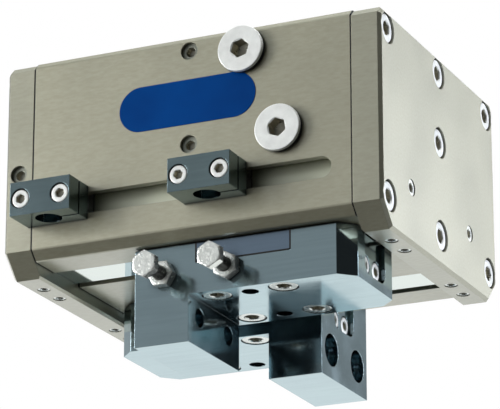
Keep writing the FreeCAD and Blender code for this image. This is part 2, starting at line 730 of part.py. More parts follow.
end_seal = ring("end_seal_master", f"{END_SEAL_INNER} + end_seal_width", END_SEAL_INNER,
                "end_seal_height")
copies("cylinder_end_seals", end_seal,
       [(f"{sx}*{BLOCK_END}", y, f"-{BORE_DROP}", turn)
        for sx, turn in ((-1, TO_MINUS_X), (1, TO_PLUS_X)) for y in BORES])

# Guide rods and cover strips

guide_rod = cylinder("guide_rod_master", "rod_diameter/2", f"2*({BLOCK_END} + rod_seat)")
for label, side in (("front_guide_rods", "-1"), ("rear_guide_rods", "1")):
    copies(label, guide_rod,
           [(f"-({BLOCK_END} + rod_seat)", f"{side}*rod_offset", f"-{drop}")
            for drop in ROD_DROPS], TO_PLUS_X)
    strip = doc.addObject("Part::Box", label.split("_")[0] + "_strip_box")
    bind(strip, Length=f"2*({BLOCK_END} + strip_seat)", Width=f"2*{STRIP_HALF}",
         Height="strip_thickness")
    place(strip, f"-({BLOCK_END} + strip_seat)", f"{side}*guide_offset - {STRIP_HALF}",
          f"-{STRIP_FACE}")
    keep(strip, label.split("_")[0] + "_cover_strip")

# Pinion, its cover and its bushes


def gap_outline():
    """The space between two pinion teeth, with involute flanks, about the -Y line."""
    teeth, pitch = num("pinion_teeth"), num(PITCH_RADIUS)
    base = pitch * math.cos(math.radians(num("pressure_angle")))

    def roll(radius):
        """Angle by which the involute has turned at a radius."""
        spread = math.acos(min(1.0, base / radius))
        return math.tan(spread) - spread

    half_gap = math.pi / teeth / 2 + num("backlash") / 4 / pitch

    def flank(radius):
        lead = max(radius, base)
        return half_gap + roll(lead) - roll(pitch)

    root, tip = num(ROOT_RADIUS), num(TIP_RADIUS)
    outside = tip + num("tooth_module")
    stations = [root, max(base, root + num("flank_step")), pitch, tip, outside]
    angles = [flank(min(radius, tip)) for radius in stations]
    right = [(radius * math.sin(angle), -radius * math.cos(angle))
             for radius, angle in zip(stations, angles)]
    left = [(-x, y) for x, y in reversed(right)]
    return right + left


def drive_pinion():
    body = new_body("DrivePinion")
    face, hub, journal = TIP_RADIUS, "hub_diameter/2", "journal_diameter/2 - journal_clearance"
    low_end = f"{PINION_LOW} + gear_face"
    head = f"-{BOSS_FACE} + shaft_bush_length - shaft_end_gap"
    foot = f"-{SHAFT_BUSH_FLOOR} + shaft_foot_gap"
    profile = [
        ("0", head), (journal, head),
        (journal, f"-{PINION_TOP}"), (face, f"-{PINION_TOP}"),
        (face, f"-{PINION_TOP} - gear_face"), (hub, f"-{PINION_TOP} - gear_face"),
        (hub, f"-{PINION_LOW}"), (face, f"-{PINION_LOW}"), (face, f"-({low_end})"),
        (journal, f"-({low_end})"), (journal, foot), ("0", foot),
    ]
    turned(body, "turned_blank", "Y", profile, "Z_Axis")
    gap = slab(body, "tooth_gap", "Z", f"-({low_end}) - cut_margin",
               f"-{PINION_TOP} + cut_margin", [gap_outline()], cut=True)
    repeat_round(body, "teeth", gap, "pinion_teeth")
    return keep(body, "drive_pinion")


def pinion_cover():
    body = new_body("PinionCover")
    profile = [
        ("0", "0"), ("cover_diameter/2 - cover_clearance", "0"),
        ("cover_diameter/2 - cover_clearance", "-cover_thickness"),
        ("cover_boss/2", "-cover_thickness"), ("cover_boss/2", f"-{BOSS_FACE}"),
        ("shaft_bush_diameter/2", f"-{BOSS_FACE}"),
        ("shaft_bush_diameter/2", f"-{BOSS_FACE} + shaft_bush_length"),
        ("0", f"-{BOSS_FACE} + shaft_bush_length"),
    ]
    turned(body, "disc", "Y", profile, "Z_Axis")
    slab(body, "screw_holes", "Z", "-cover_thickness", "0",
         [(x, y, "small_screw/2 + screw_hole_gap") for x, y in COVER_SCREWS], cut=True)
    slab(body, "screw_sinks", "Z", "-small_screw_height - head_sink", "0",
         [(x, y, "small_screw_sink/2") for x, y in COVER_SCREWS], cut=True)
    return keep(body, "pinion_cover")


drive_pinion()
pinion_cover()
cover_screw = cap_screw("cover_screw_master", "small_screw", "small_screw_head",
                        "small_screw_height", "small_screw_key",
                        "cover_thickness - small_screw_height - head_sink + cover_screw_length")
copies("cover_screws", cover_screw, [(x, y, "-head_sink") for x, y in COVER_SCREWS])
shaft_bush = ring("shaft_bush_master", "shaft_bush_diameter/2", "journal_diameter/2",
                  "shaft_bush_length")
copies("pinion_bushes", shaft_bush,
       [("0", "0", f"-{BOSS_FACE}"), ("0", "0", f"-{SHAFT_BUSH_FLOOR}")])

# Each jaw's moving set, modelled for the front and turned for the rear


def rack_teeth(body, tip, low, high):
    """Mill tooth gaps along X into a face at Y = tip, between two heights."""
    slope = "tan(pressure_angle)"
    depth = "((addendum_factor + dedendum_factor)*tooth_module)"
    root_half = f"({TOOTH_PITCH}/4 + backlash/4 - dedendum_factor*tooth_module*{slope})"
    mouth_half = f"({root_half} + ({depth} + cut_margin)*{slope})"
    gap = slab(body, "tooth_gap", "Z", low, high, [[
        (f"{FIRST_GAP} - {root_half}", f"{tip} - {depth}"),
        (f"{FIRST_GAP} + {root_half}", f"{tip} - {depth}"),
        (f"{FIRST_GAP} + {mouth_half}", f"{tip} + cut_margin"),
        (f"{FIRST_GAP} - {mouth_half}", f"{tip} + cut_margin"),
    ]], cut=True)
    return repeat_line(body, "rack_teeth", gap, TOOTH_PITCH, GAP_COUNT)


def base_jaw(label, turn):
    """Guide block with rack, two webs round the cover strip, and the foot below."""
    body = new_body(label)
    start, end = f"jaw_rest - {CARRIAGE_HALF}", f"jaw_rest + {CARRIAGE_HALF}"
    foot_start, foot_end = "jaw_rest - foot_length/2", "jaw_rest + foot_length/2"
    slab(body, "guide_block", "X", start, end, [box_outline(
        f"-{CARRIAGE_SIDE}", f"-{CARRIAGE_FLOOR}", f"-{RACK_TIP}", f"-{CARRIAGE_TOP}")])
    outer, inner = f"{WEB_REACH}", f"{WEB_REACH} - web_thickness"
    slab(body, "webs", "X", foot_start, foot_end, [
        box_outline(f"-guide_offset - {outer}", f"-{JAW_TOP}",
                    f"-guide_offset - ({inner})", f"-{CARRIAGE_FLOOR}"),
        box_outline(f"-guide_offset + {inner}", f"-{JAW_TOP}",
                    f"-guide_offset + {outer}", f"-{CARRIAGE_FLOOR}")])
    slab(body, "foot", "X", foot_start, foot_end, [box_outline(
        f"-{JAW_FRONT}", f"-{FOOT_FACE}", f"-{JAW_BACK}", f"-{JAW_TOP}")])
    slab(body, "rod_bores", "X", start, end,
         [("-rod_offset", f"-{drop}", "rod_diameter/2 + rod_air") for drop in ROD_DROPS], cut=True)
    for name, low, high in (
            ("left_bush_seats", start, f"{start} + guide_bush_length"),
            ("right_bush_seats", f"{end} - guide_bush_length", end)):
        slab(body, name, "X", low, high,
             [("-rod_offset", f"-{drop}", "guide_bush_diameter/2") for drop in ROD_DROPS],
             cut=True)
    slab(body, "threads", "Z", f"-{FOOT_FACE}", f"-{JAW_TOP}",
         [(x, y, "plate_screw/2") for x, y in JAW_SCREWS], cut=True)
    slab(body, "dowel_seats", "Z", f"-{FOOT_FACE}", f"-{DOWEL_TOP}",
         [(x, y, "dowel_diameter/2") for x, y in JAW_DOWELS], cut=True)
    rack_teeth(body, f"-{RACK_TIP}", f"-{CARRIAGE_FLOOR} - cut_margin",
               f"-{CARRIAGE_TOP} + cut_margin")
    body.Placement = FreeCAD.Placement(FreeCAD.Vector(), turn)
    return keep(body, label)


def jaw(label, turn, with_cams):
    """The bolted-on jaw: a bar with a leg at one end."""
    body = new_body(label)
    outline = [
        (LEG_OUTER_X, f"-{LEG_FACE}"), (LEG_INNER_X, f"-{LEG_FACE}"),
        (LEG_INNER_X, f"-{BAR_FACE}"), (BAR_END_X, f"-{BAR_FACE}"),
        (BAR_END_X, f"-{JAW_TOP}"), (LEG_OUTER_X, f"-{JAW_TOP}"),
    ]
    blank = slab(body, "bar_and_leg", "Y", f"-{JAW_FRONT}", f"-{JAW_BACK}", [outline])
    bevel(body, "end_chamfers", blank, "end_chamfer",
          lambda p: near(p.x, BAR_END_X) and near(p.y, f"-{JAW_FRONT}"),
          lambda p: near(p.x, BAR_END_X) and near(p.y, f"-{JAW_BACK}"))
    slab(body, "notch", "X", "jaw_rest - foot_length/2 - notch_clearance",
         "jaw_rest + foot_length/2 + notch_clearance", [box_outline(
             f"-{JAW_FRONT}", f"-{FOOT_FACE}", f"-{JAW_BACK}", f"-{JAW_TOP}")], cut=True)
    slab(body, "screw_holes", "Z", f"-{BAR_FACE}", f"-{FOOT_FACE}",
         [(x, y, "plate_screw/2 + screw_hole_gap") for x, y in JAW_SCREWS], cut=True)
    slab(body, "screw_sinks", "Z", f"-{BAR_FACE}", f"-{BAR_FACE} + {JAW_SINK}",
         [(x, y, "jaw_screw_sink/2") for x, y in JAW_SCREWS], cut=True)
    slab(body, "dowel_holes", "Z", f"-{BAR_FACE}", f"-{FOOT_FACE}",
         [(x, y, "dowel_diameter/2") for x, y in JAW_DOWELS], cut=True)
    finger_z = f"-{BAR_FACE} - finger_hole_drop"
    spots = [(f"-guide_offset {sign} finger_hole_pitch/2", finger_z) for sign in "-+"]
    slab(body, "finger_holes", "X", LEG_OUTER_X, LEG_INNER_X,
         [(y, z, "finger_hole_diameter/2") for y, z in spots], cut=True)
    slab(body, "finger_sinks", "X", LEG_OUTER_X, f"{LEG_OUTER_X} + finger_sink_depth",
         [(y, z, "finger_sink_diameter/2") for y, z in spots], cut=True)
    for name, low, high, low_sink, high_sink, low_tap, high_tap in END_FACES:
        end_pocket(body, name, low, high)
        screws = [(y, END_SCREW_Z) for y in END_SCREW_ROWS]
        slab(body, name + "_sinks", "X", low_sink, high_sink,
             [(y, z, "small_screw_sink/2") for y, z in screws], cut=True)
        slab(body, name + "_taps", "X", low_tap, high_tap,
             [(y, z, "small_screw/2") for y, z in screws], cut=True)
    if with_cams:
        slab(body, "cam_threads", "Y", f"-{JAW_FRONT}", f"-{JAW_FRONT} + cam_thread_depth",
             [(x, CAM_Z, "cam_thread/2") for x in CAM_SPOTS], cut=True)
    body.Placement = FreeCAD.Placement(FreeCAD.Vector(), turn)
    return keep(body, label)


def end_pocket(body, name, low, high):
    """A shallow pocket in an end face, open at the top, with two round lower corners."""
    floor = f"-{JAW_TOP} - pocket_height"
    left, right = "-guide_offset - pocket_width/2", "-guide_offset + pocket_width/2"
    slab(body, name, "X", low, high, [[
        (left, f"-{JAW_TOP}"), (left, f"{floor} + pocket_round"),
        (f"{left} + pocket_round", f"{floor} + pocket_round"),
        (f"{left} + pocket_round", floor), (f"{right} - pocket_round", floor),
        (f"{right} - pocket_round", f"{floor} + pocket_round"),
        (right, f"{floor} + pocket_round"), (right, f"-{JAW_TOP}"),
    ]], cut=True)
    for spot, tag in ((f"{left} + pocket_round", "_corner_a"),
                      (f"{right} - pocket_round", "_corner_b")):
        slab(body, name + tag, "X", low, high,
             [(spot, f"{floor} + pocket_round", "pocket_round")], cut=True)


def drive_piston(label, turn):
    """A piston with a head and seal groove at each end and a rack between."""
    body = new_body(label)
    head, waist = "(bore_diameter/2 - piston_clearance)", "(bore_diameter/2 - piston_relief)"
    groove = f"({head} - seal_depth)"
    half = PISTON_HALF
    seal_far, seal_near = f"({SEAL_MIDDLE} + seal_width/2)", f"({SEAL_MIDDLE} - seal_width/2)"
    neck = f"({half} - piston_head)"
    rise = [(half, head), (seal_far, head), (seal_far, groove), (seal_near, groove),
            (seal_near, head), (neck, head), (neck, waist)]
    points = [(half, "0")] + rise + [(f"-{x}", y) for x, y in reversed(rise)] + [(f"-{half}", "0")]
    outline = [(f"jaw_rest + {x}", y) for x, y in points]
    turned(body, "turned_piston", "Y", outline, "X_Axis")
    flat, beyond = f"(guide_offset - {RACK_TIP})", "bore_diameter"
    slab(body, "rack_flat", "X", f"jaw_rest - {neck}", f"jaw_rest + {neck}",
         [box_outline(flat, f"-{beyond}", beyond, beyond)], cut=True)
    rack_teeth(body, flat, f"-{beyond}", beyond)
    body.Placement = FreeCAD.Placement(FreeCAD.Vector(), turn)
    sign = "-1" if turn.Angle < 1 else "1"
    body.setExpression("Placement.Base.y", ex(f"{sign}*guide_offset"))
    body.setExpression("Placement.Base.z", ex(f"-{BORE_DROP}"))
    return keep(body, label)


piston_seal = ring("piston_seal_master", SEAL_OUTER, SEAL_INNER, "seal_width")
guide_bush = ring("guide_bush_master", "guide_bush_diameter/2", "rod_diameter/2 + rod_clearance",
                  "guide_bush_length")
jaw_screw = cap_screw("jaw_screw_master", "plate_screw", "plate_screw_head",
                      "plate_screw_height", "plate_screw_key", "jaw_screw_length")
end_screw = cap_screw("end_screw_master", "small_screw", "small_screw_head",
                      "small_screw_height", "small_screw_key", "end_screw_length")
dowel = cylinder("dowel_master", "dowel_diameter/2", "dowel_length")


def flipped(spots):
    """Places of the front jaw's pieces turned half a turn about Z."""
    return [(f"-({x})", f"-({y})", z) for x, y, z in spots]


for name, turn in (("front", FreeCAD.Rotation()), ("rear", HALF_TURN)):
    front = name == "front"

    def spots(places):
        return places if front else flipped(places)

    base_jaw(f"{name}_base_jaw", turn)
    jaw(f"{name}_jaw", turn, with_cams=front)
    drive_piston(f"{name}_drive_piston", turn)
    copies(f"{name}_piston_seals", piston_seal, spots(
        [(f"jaw_rest {sign} {SEAL_MIDDLE} - seal_width/2" if front
          else f"jaw_rest {sign} {SEAL_MIDDLE} + seal_width/2",
          "-guide_offset", f"-{BORE_DROP}") for sign in "-+"]), TO_PLUS_X)
    bush_starts = (f"jaw_rest - {CARRIAGE_HALF}",
                   f"jaw_rest + {CARRIAGE_HALF} - guide_bush_length")
    copies(f"{name}_guide_bushes", guide_bush, spots(
        [(start if front else f"{start} + guide_bush_length", "-rod_offset", f"-{drop}")
         for start in bush_starts for drop in ROD_DROPS]), TO_PLUS_X)
    copies(f"{name}_jaw_screws", jaw_screw, spots(
        [(x, y, f"-{BAR_FACE} + head_sink") for x, y in JAW_SCREWS]), TO_MINUS_Z)
    copies(f"{name}_jaw_dowels", dowel, spots(
        [(x, y, f"-{BAR_FACE} + dowel_recess") for x, y in JAW_DOWELS]))
    leg_face, bar_face = f"{LEG_OUTER_X} + pocket_depth", f"{BAR_END_X} - pocket_depth"
    leg_spots = spots([(leg_face, y, END_SCREW_Z) for y in END_SCREW_ROWS])
    bar_spots = spots([(bar_face, y, END_SCREW_Z) for y in END_SCREW_ROWS])
    outward, inward = (TO_MINUS_X, TO_PLUS_X) if front else (TO_PLUS_X, TO_MINUS_X)
    copies(f"{name}_end_screws", end_screw,
           [spot + (outward,) for spot in leg_spots] + [spot + (inward,) for spot in bar_spots])

# Switching bolts with lock nuts on the front jaw


def cam_bolt():
    """A hexagon bolt: its face at the origin, its shank along -Z."""
    bolt = doc.addObject("Part::Fuse", "cam_bolt_master")
    bolt.Base = hexagon("cam_bolt_head", "cam_head_flats", "cam_head_height", "-cam_head_height")
    length = "(cam_reach + cam_thread_depth - cam_head_height)"
    bolt.Tool = cylinder("cam_bolt_shank", "cam_thread/2", length,
                         f"-cam_head_height - {length}")
    return bolt


def cam_nut():
    nut = doc.addObject("Part::Cut", "cam_nut_master")
    nut.Base = hexagon("cam_nut_blank", "cam_head_flats", "cam_nut_height")
    nut.Tool = cylinder("cam_nut_hole", "cam_thread/2", "cam_nut_height")
    return nut


copies("cam_bolts", cam_bolt(),
       [(x, f"-{JAW_FRONT} - cam_reach", CAM_Z) for x in CAM_SPOTS], TO_MINUS_Y)
copies("cam_lock_nuts", cam_nut(),
       [(x, f"-{JAW_FRONT}", CAM_Z) for x in CAM_SPOTS], TO_MINUS_Y)

# Sensor clamp blocks that slide in the front groove


def clamp_block(label, middle):
    body = new_body(label)
    face, back = f"-{HALF_DEPTH} - clamp_depth", f"-{HALF_DEPTH} - nut_air"
    half, rise = "(clamp_width/2)", "(clamp_height/2)"
    slab(body, "block", "Y", face, back, [box_outline(
        f"-{half}", f"-{GROOVE_DROP} - {rise}", half, f"-{GROOVE_DROP} + {rise}")])
    tongue = "(groove_width/2 - clamp_fit)"
    slab(body, "tongue", "Y", back, f"-{HALF_DEPTH} + clamp_tongue", [box_outline(
        "-nut_length/2", f"-{GROOVE_DROP} - {tongue}",
        "nut_length/2", f"-{GROOVE_DROP} + {tongue}")])
    bore_y = f"-{HALF_DEPTH} - clamp_bore_gap"
    low, high = f"-{GROOVE_DROP} - {rise}", f"-{GROOVE_DROP} + {rise}"
    slab(body, "sensor_bore", "Z", low, high, [("0", bore_y, "clamp_bore/2")], cut=True)
    slab(body, "slit", "Z", low, high, [box_outline(
        "0", f"{bore_y} - clamp_slit/2", half, f"{bore_y} + clamp_slit/2")], cut=True)
    screws = [f"{sign}clamp_screw_pitch/2" for sign in ("-", "")]
    slab(body, "screw_holes", "Y", face, f"-{HALF_DEPTH} + clamp_tongue",
         [(x, f"-{GROOVE_DROP}", "small_screw/2 + clamp_fit") for x in screws], cut=True)
    slab(body, "screw_sinks", "Y", face, f"{face} + small_screw_height + head_sink",
         [(x, f"-{GROOVE_DROP}", "small_screw_sink/2") for x in screws], cut=True)
    place(body, middle)
    return keep(body, label)


def groove_nut(label, middle):
    """A long nut behind the groove's lips."""
    body = new_body(label)
    front = f"-{HALF_DEPTH} + groove_lip + nut_air"
    back = f"-{HALF_DEPTH} + groove_lip + groove_inner_depth - nut_back_gap"
    rise = "(groove_inner_width/2 - nut_side_gap)"
    slab(body, "bar", "Y", front, back, [box_outline(
        "-nut_length/2", f"-{GROOVE_DROP} - {rise}", "nut_length/2", f"-{GROOVE_DROP} + {rise}")])
    slab(body, "threads", "Y", front, back,
         [(f"{sign}clamp_screw_pitch/2", f"-{GROOVE_DROP}", "small_screw/2")
          for sign in ("-", "")], cut=True)
    place(body, middle)
    return keep(body, label)


clamp_screw = cap_screw("clamp_screw_master", "small_screw", "small_screw_head",
                        "small_screw_height", "small_screw_key", "clamp_screw_length")
for name, middle in (("left", f"(clamp_left_inset - {BLOCK_END})"), ("right", "clamp_right_x")):
    clamp_block(f"{name}_sensor_clamp", middle)
    groove_nut(f"{name}_groove_nut", middle)
    copies(f"{name}_clamp_screws", clamp_screw,
           [(f"{middle} {sign} clamp_screw_pitch/2", f"-{HALF_DEPTH} - clamp_depth + head_sink",
             f"-{GROOVE_DROP}") for sign in "-+"], TO_MINUS_Y)

# Check the model and write every sub-part

doc.recompute()
for obj in doc.Objects:
    if {"Invalid", "Error"} & set(obj.State):
        raise RuntimeError(f"{obj.Label} failed: {obj.State}")
for label, obj in PARTS.items():
    if obj.Shape.isNull() or not obj.Shape.isValid():
        raise RuntimeError(f"{label} has no valid shape")
for label, obj in PARTS.items():
    obj.Shape.exportStep(f"parts/{label}.step")
print(len(PARTS), "sub-parts written")
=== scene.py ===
import bmesh
import bpy
import json
import math
import random
from mathutils import Matrix, Vector


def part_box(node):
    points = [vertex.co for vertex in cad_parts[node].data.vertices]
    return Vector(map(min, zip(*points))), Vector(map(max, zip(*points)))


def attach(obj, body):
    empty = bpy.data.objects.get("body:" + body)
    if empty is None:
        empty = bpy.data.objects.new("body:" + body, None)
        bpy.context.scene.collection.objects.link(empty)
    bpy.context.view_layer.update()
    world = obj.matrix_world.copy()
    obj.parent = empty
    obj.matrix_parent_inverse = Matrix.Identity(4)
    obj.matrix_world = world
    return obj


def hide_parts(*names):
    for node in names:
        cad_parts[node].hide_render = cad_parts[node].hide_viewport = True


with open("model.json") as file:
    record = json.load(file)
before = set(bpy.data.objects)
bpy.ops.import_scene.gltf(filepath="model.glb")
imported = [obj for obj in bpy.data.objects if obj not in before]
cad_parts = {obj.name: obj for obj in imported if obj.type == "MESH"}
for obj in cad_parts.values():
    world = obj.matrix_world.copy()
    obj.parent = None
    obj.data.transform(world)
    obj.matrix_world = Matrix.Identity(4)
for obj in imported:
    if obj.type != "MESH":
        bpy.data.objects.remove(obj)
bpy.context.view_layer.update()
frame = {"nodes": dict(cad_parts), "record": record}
nodes = frame["nodes"]
random.seed(7)

MM = 0.001


# Colours

def rgb(text):
    """A colour written as in a drawing program, turned to the renderer's own scale."""
    values = [int(text[i:i + 2], 16) / 255 for i in (0, 2, 4)]
    linear = [v / 12.92 if v <= 0.04045 else ((v + 0.055) / 1.055) ** 2.4 for v in values]
    return (*linear, 1.0)


def darker(color, share):
    return (*(v * share for v in color[:3]), 1.0)


# Places on the housing where its material paints shade at the end seams and light on the groove's
# back wall

HOUSING_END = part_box("housing_block")[1].x
END_SEAM_SHADE = 0.45 * MM
GROOVE_FLOOR_Y = -39.4 * MM
FLOOR_REACH = 0.3 * MM
GROOVE_MIDDLE_Z = -46.75 * MM
GROOVE_HALF = 4.8 * MM


# Materials: each one has its own colour variation, grain and softened edges

SHADER_SAMPLES = 6


class Finish:
    """A surface shader with the nodes that its grain and its edges share."""

    def __init__(self, name, color, metallic, roughness):
        self.material = bpy.data.materials.new(name)
        self.material.use_nodes = True
        self.tree = self.material.node_tree
        self.shader = self.tree.nodes["Principled BSDF"]
        self.shader.inputs["Base Color"].default_value = color
        self.shader.inputs["Metallic"].default_value = metallic
        self.shader.inputs["Roughness"].default_value = roughness
        self.place = self.add("ShaderNodeTexCoord").outputs["Object"]
        self.color = color
        self.normal = None

    def add(self, kind, **inputs):
        """A new node; an input's name has underscores where the socket's has spaces."""
        node = self.tree.nodes.new(kind)
        for name, value in inputs.items():
            self.put(node, name.replace("_", " "), value)
        return node

    def put(self, node, socket, value):
        """Link an output to a socket, or set a plain value on it."""
        target = node.inputs[socket]
        if isinstance(value, bpy.types.NodeSocket):
            self.tree.links.new(value, target)
        else:
            target.default_value = value

    def noise(self, scale, detail=3.0, stretch=(1, 1, 1)):
        """Noise whose scale is in cells per metre along each axis."""
        mapping = self.add("ShaderNodeMapping", Vector=self.place, Scale=stretch)
        made = self.add("ShaderNodeTexNoise", Vector=mapping.outputs["Vector"],
                        Scale=scale, Detail=detail)
        return made.outputs["Fac"]

    def ranged(self, source, low, high, high_in=0.7):
        """Stretch the middle of a source's values over low to high."""
        made = self.add("ShaderNodeMapRange", Value=source)
        made.inputs["From Min"].default_value = 0.3
        made.inputs["From Max"].default_value = high_in
        made.inputs["To Min"].default_value = low
        made.inputs["To Max"].default_value = high
        return made.outputs["Result"]

    def mixed(self, factor, first, second):
        """A colour between two others, each a colour or an output."""
        mix = self.tree.nodes.new("ShaderNodeMix")
        mix.data_type = "RGBA"
        self.tree.links.new(factor, mix.inputs["Factor"])
        for name, value in (("A", first), ("B", second)):
            socket = next(s for s in mix.inputs if s.name == name and s.type == "RGBA")
            if isinstance(value, bpy.types.NodeSocket):
                self.tree.links.new(value, socket)
            else:
                socket.default_value = value
        self.color = next(s for s in mix.outputs if s.type == "RGBA")
        self.put(self.shader, "Base Color", self.color)

    def tint(self, source, dark, light):
        """Let the colour drift between two tones."""
        self.mixed(self.ranged(source, 0.0, 1.0), dark, light)

    def painted_cavity_shade(self, reach, color):
        """Painted shade: darkens bores, gaps and the rims of sinks, where ambient occlusion finds
        them hidden.
        """
        hidden = self.add("ShaderNodeAmbientOcclusion", Distance=reach)
        hidden.samples = SHADER_SAMPLES
        self.mixed(self.ranged(hidden.outputs["AO"], 0.0, 1.0, high_in=0.85), color, self.color)

    def within(self, axis, middle, reach):
        """1 at points no further than reach from a place along an axis, else 0."""
        parts = self.add("ShaderNodeSeparateXYZ", Vector=self.place)
        made = self.add("ShaderNodeMath", Value=parts.outputs[axis])
        made.operation = "COMPARE"
        made.inputs[1].default_value = middle
        made.inputs[2].default_value = reach
        return made.outputs["Value"]

    def painted_end_seam_shade(self, color):
        """Painted shade: the last stretch at both ends, at the seams with the end plates, is
        darkened.
        """
        self.mixed(self.within("X", 0.0, HOUSING_END - END_SEAM_SHADE), color, self.color)

    def painted_groove_light(self, color):
        """Painted light: the back wall of the sensor groove is made paler, as if it were lit
        evenly.
        """
        deep = self.within("Y", GROOVE_FLOOR_Y, FLOOR_REACH)
        high = self.within("Z", GROOVE_MIDDLE_Z, GROOVE_HALF)
        both = self.add("ShaderNodeMath", Value=deep)
        both.operation = "MULTIPLY"
        self.put(both, 1, high)
        self.mixed(both.outputs["Value"], self.color, color)

    def rough(self, source, low, high):
        self.put(self.shader, "Roughness", self.ranged(source, low, high))

    def coat(self, weight, roughness, ior):
        """A clear sealed film that whitens faces seen at a low angle."""
        self.shader.inputs["Coat Weight"].default_value = weight
        self.shader.inputs["Coat Roughness"].default_value = roughness
        self.shader.inputs["Coat IOR"].default_value = ior

    def edges(self, radius):
        """Round the sharp edges for the light."""
        made = self.tree.nodes.new("ShaderNodeBevel")
        made.samples = SHADER_SAMPLES
        made.inputs["Radius"].default_value = radius
        self.normal = made.outputs["Normal"]
        self.put(self.shader, "Normal", self.normal)

    def grain(self, source, height):
        """Fine relief on top of the softened edges and of the relief before it."""
        made = self.tree.nodes.new("ShaderNodeBump")
        made.inputs["Distance"].default_value = height
        made.inputs["Strength"].default_value = 1.0
        self.put(made, "Height", source)
        if self.normal is not None:
            self.put(made, "Normal", self.normal)
        self.normal = made.outputs["Normal"]
        self.put(self.shader, "Normal", self.normal)


def anodised(name, dark, light, streak, roughness, is_housing=False):
    """Hard anodised aluminium: satin, fine horizontal grain, a slow drift of tone."""
    made = Finish(name, light, metallic=0.6, roughness=roughness)
    made.coat(weight=1.0, roughness=0.25, ior=2.0)
    made.edges(0.25 * MM)
    made.tint(made.noise(14.0), dark, light)
    streaks = made.noise(1500.0, detail=2.0, stretch=(0.3, 1, 1))
    made.mixed(made.ranged(streaks, 0.0, 0.4), made.color, streak)
    if is_housing:
        # painted light on the groove's back wall
        made.painted_groove_light(rgb("CFD2BA"))
    # painted shade in the bores, gaps and sink rims of the anodised parts
    made.painted_cavity_shade(0.9 * MM, rgb("35342C"))
    if is_housing:
        # painted shade along the seams with the end plates
        made.painted_end_seam_shade(rgb("12130F"))
    made.rough(made.noise(60.0), roughness - 0.04, roughness + 0.05)
    made.grain(made.noise(900.0, stretch=(0.05, 1, 1)), 0.006 * MM)
    made.grain(made.noise(3500.0), 0.003 * MM)
    return made.material


def black_steel(name, dark, light, reach=4.0 * MM, roughness=0.12):
    """Ground steel with a blackened, oiled surface that mirrors what is near."""
    made = Finish(name, light, metallic=1.0, roughness=roughness)
    made.edges(0.2 * MM)
    made.tint(made.noise(25.0), dark, light)
    streaks = made.noise(1100.0, detail=2.0, stretch=(0.04, 1, 1))
    made.mixed(made.ranged(streaks, 0.0, 0.3), made.color, darker(dark, 0.8))
    # painted shade, near black, in the bores, gaps and sink rims of the steel
    made.painted_cavity_shade(reach, rgb("050708"))
    made.rough(made.noise(90.0), roughness - 0.04, roughness + 0.06)
    made.grain(made.noise(1500.0, stretch=(0.03, 1, 1)), 0.0012 * MM)
    return made.material


def bright_steel(name, color, roughness, metallic=0.9):
    """Turned or ground steel, bare or plated, with a fine even grain."""
    made = Finish(name, color, metallic, roughness)
    made.edges(0.12 * MM)
    made.tint(made.noise(300.0), darker(color, 0.86), color)
    made.rough(made.noise(500.0), roughness - 0.05, roughness + 0.08)
    made.grain(made.noise(4000.0), 0.002 * MM)
    return made.material


def forged_steel(name, color, roughness):
    """Bright steel whose forged face keeps shallow dimples."""
    made = Finish(name, color, metallic=0.7, roughness=roughness)
    made.edges(0.15 * MM)
    made.grain(made.noise(1300.0, detail=1.0), 0.12 * MM)
    made.grain(made.noise(4000.0), 0.008 * MM)
    made.rough(made.noise(500.0), roughness - 0.05, roughness + 0.08)
    return made.material


def painted_gap_shade():
    """Painted shade: a black strip that stands for the shade in the fine gap between two pieces.
    """
    # near-black colour of the painted gap shade
    made = Finish("painted_gap_shade", rgb("0B0C0B"), metallic=0.0, roughness=0.5)
    made.rough(made.noise(400.0), 0.4, 0.6)
    return made.material


def polished_strip():
    """A mirror-like strip whose slow waves bend what it mirrors."""
    made = Finish("polished_strip", rgb("E8EDEA"), metallic=1.0, roughness=0.06)
    made.rough(made.noise(40.0), 0.04, 0.09)
    made.grain(made.noise(25.0, stretch=(0.3, 1, 1)), 0.01 * MM)
    return made.material


def rubber():
    """Black rubber of the seals."""
    made = Finish("black_rubber", rgb("121315"), metallic=0.0, roughness=0.6)
    made.grain(made.noise(2500.0), 0.004 * MM)
    return made.material


def bronze():
    """Bronze of the bushes, turned, with fine rings."""
    made = Finish("bronze", rgb("B08A52"), metallic=0.9, roughness=0.35)
    made.tint(made.noise(200.0), rgb("8E6B3C"), rgb("B8935B"))
    made.grain(made.noise(1500.0, stretch=(0.1, 1, 1)), 0.003 * MM)
    return made.material


def label_blue():
    """Even blue print with almost no gloss."""
    made = Finish("label_blue", rgb("003E82"), metallic=0.0, roughness=0.25)
    made.shader.inputs["Specular IOR Level"].default_value = 0.04
    made.tint(made.noise(60.0), rgb("003677"), rgb("004187"))
    made.grain(made.noise(2500.0), 0.001 * MM)
    return made.material


HOUSING = anodised("housing_anodised", rgb("AAA791"), rgb("B4B19A"), rgb("98957D"),
                   roughness=0.44, is_housing=True)
PLATES = anodised("plate_anodised", rgb("ABA994"), rgb("B5B39E"), rgb("9B9984"),
                  roughness=0.38)
JAWS = black_steel("jaw_steel", rgb("B4C9D1"), rgb("BED3DA"))
BASE_JAWS = black_steel("base_jaw_steel", rgb("96A9BE"), rgb("A0B2C7"))
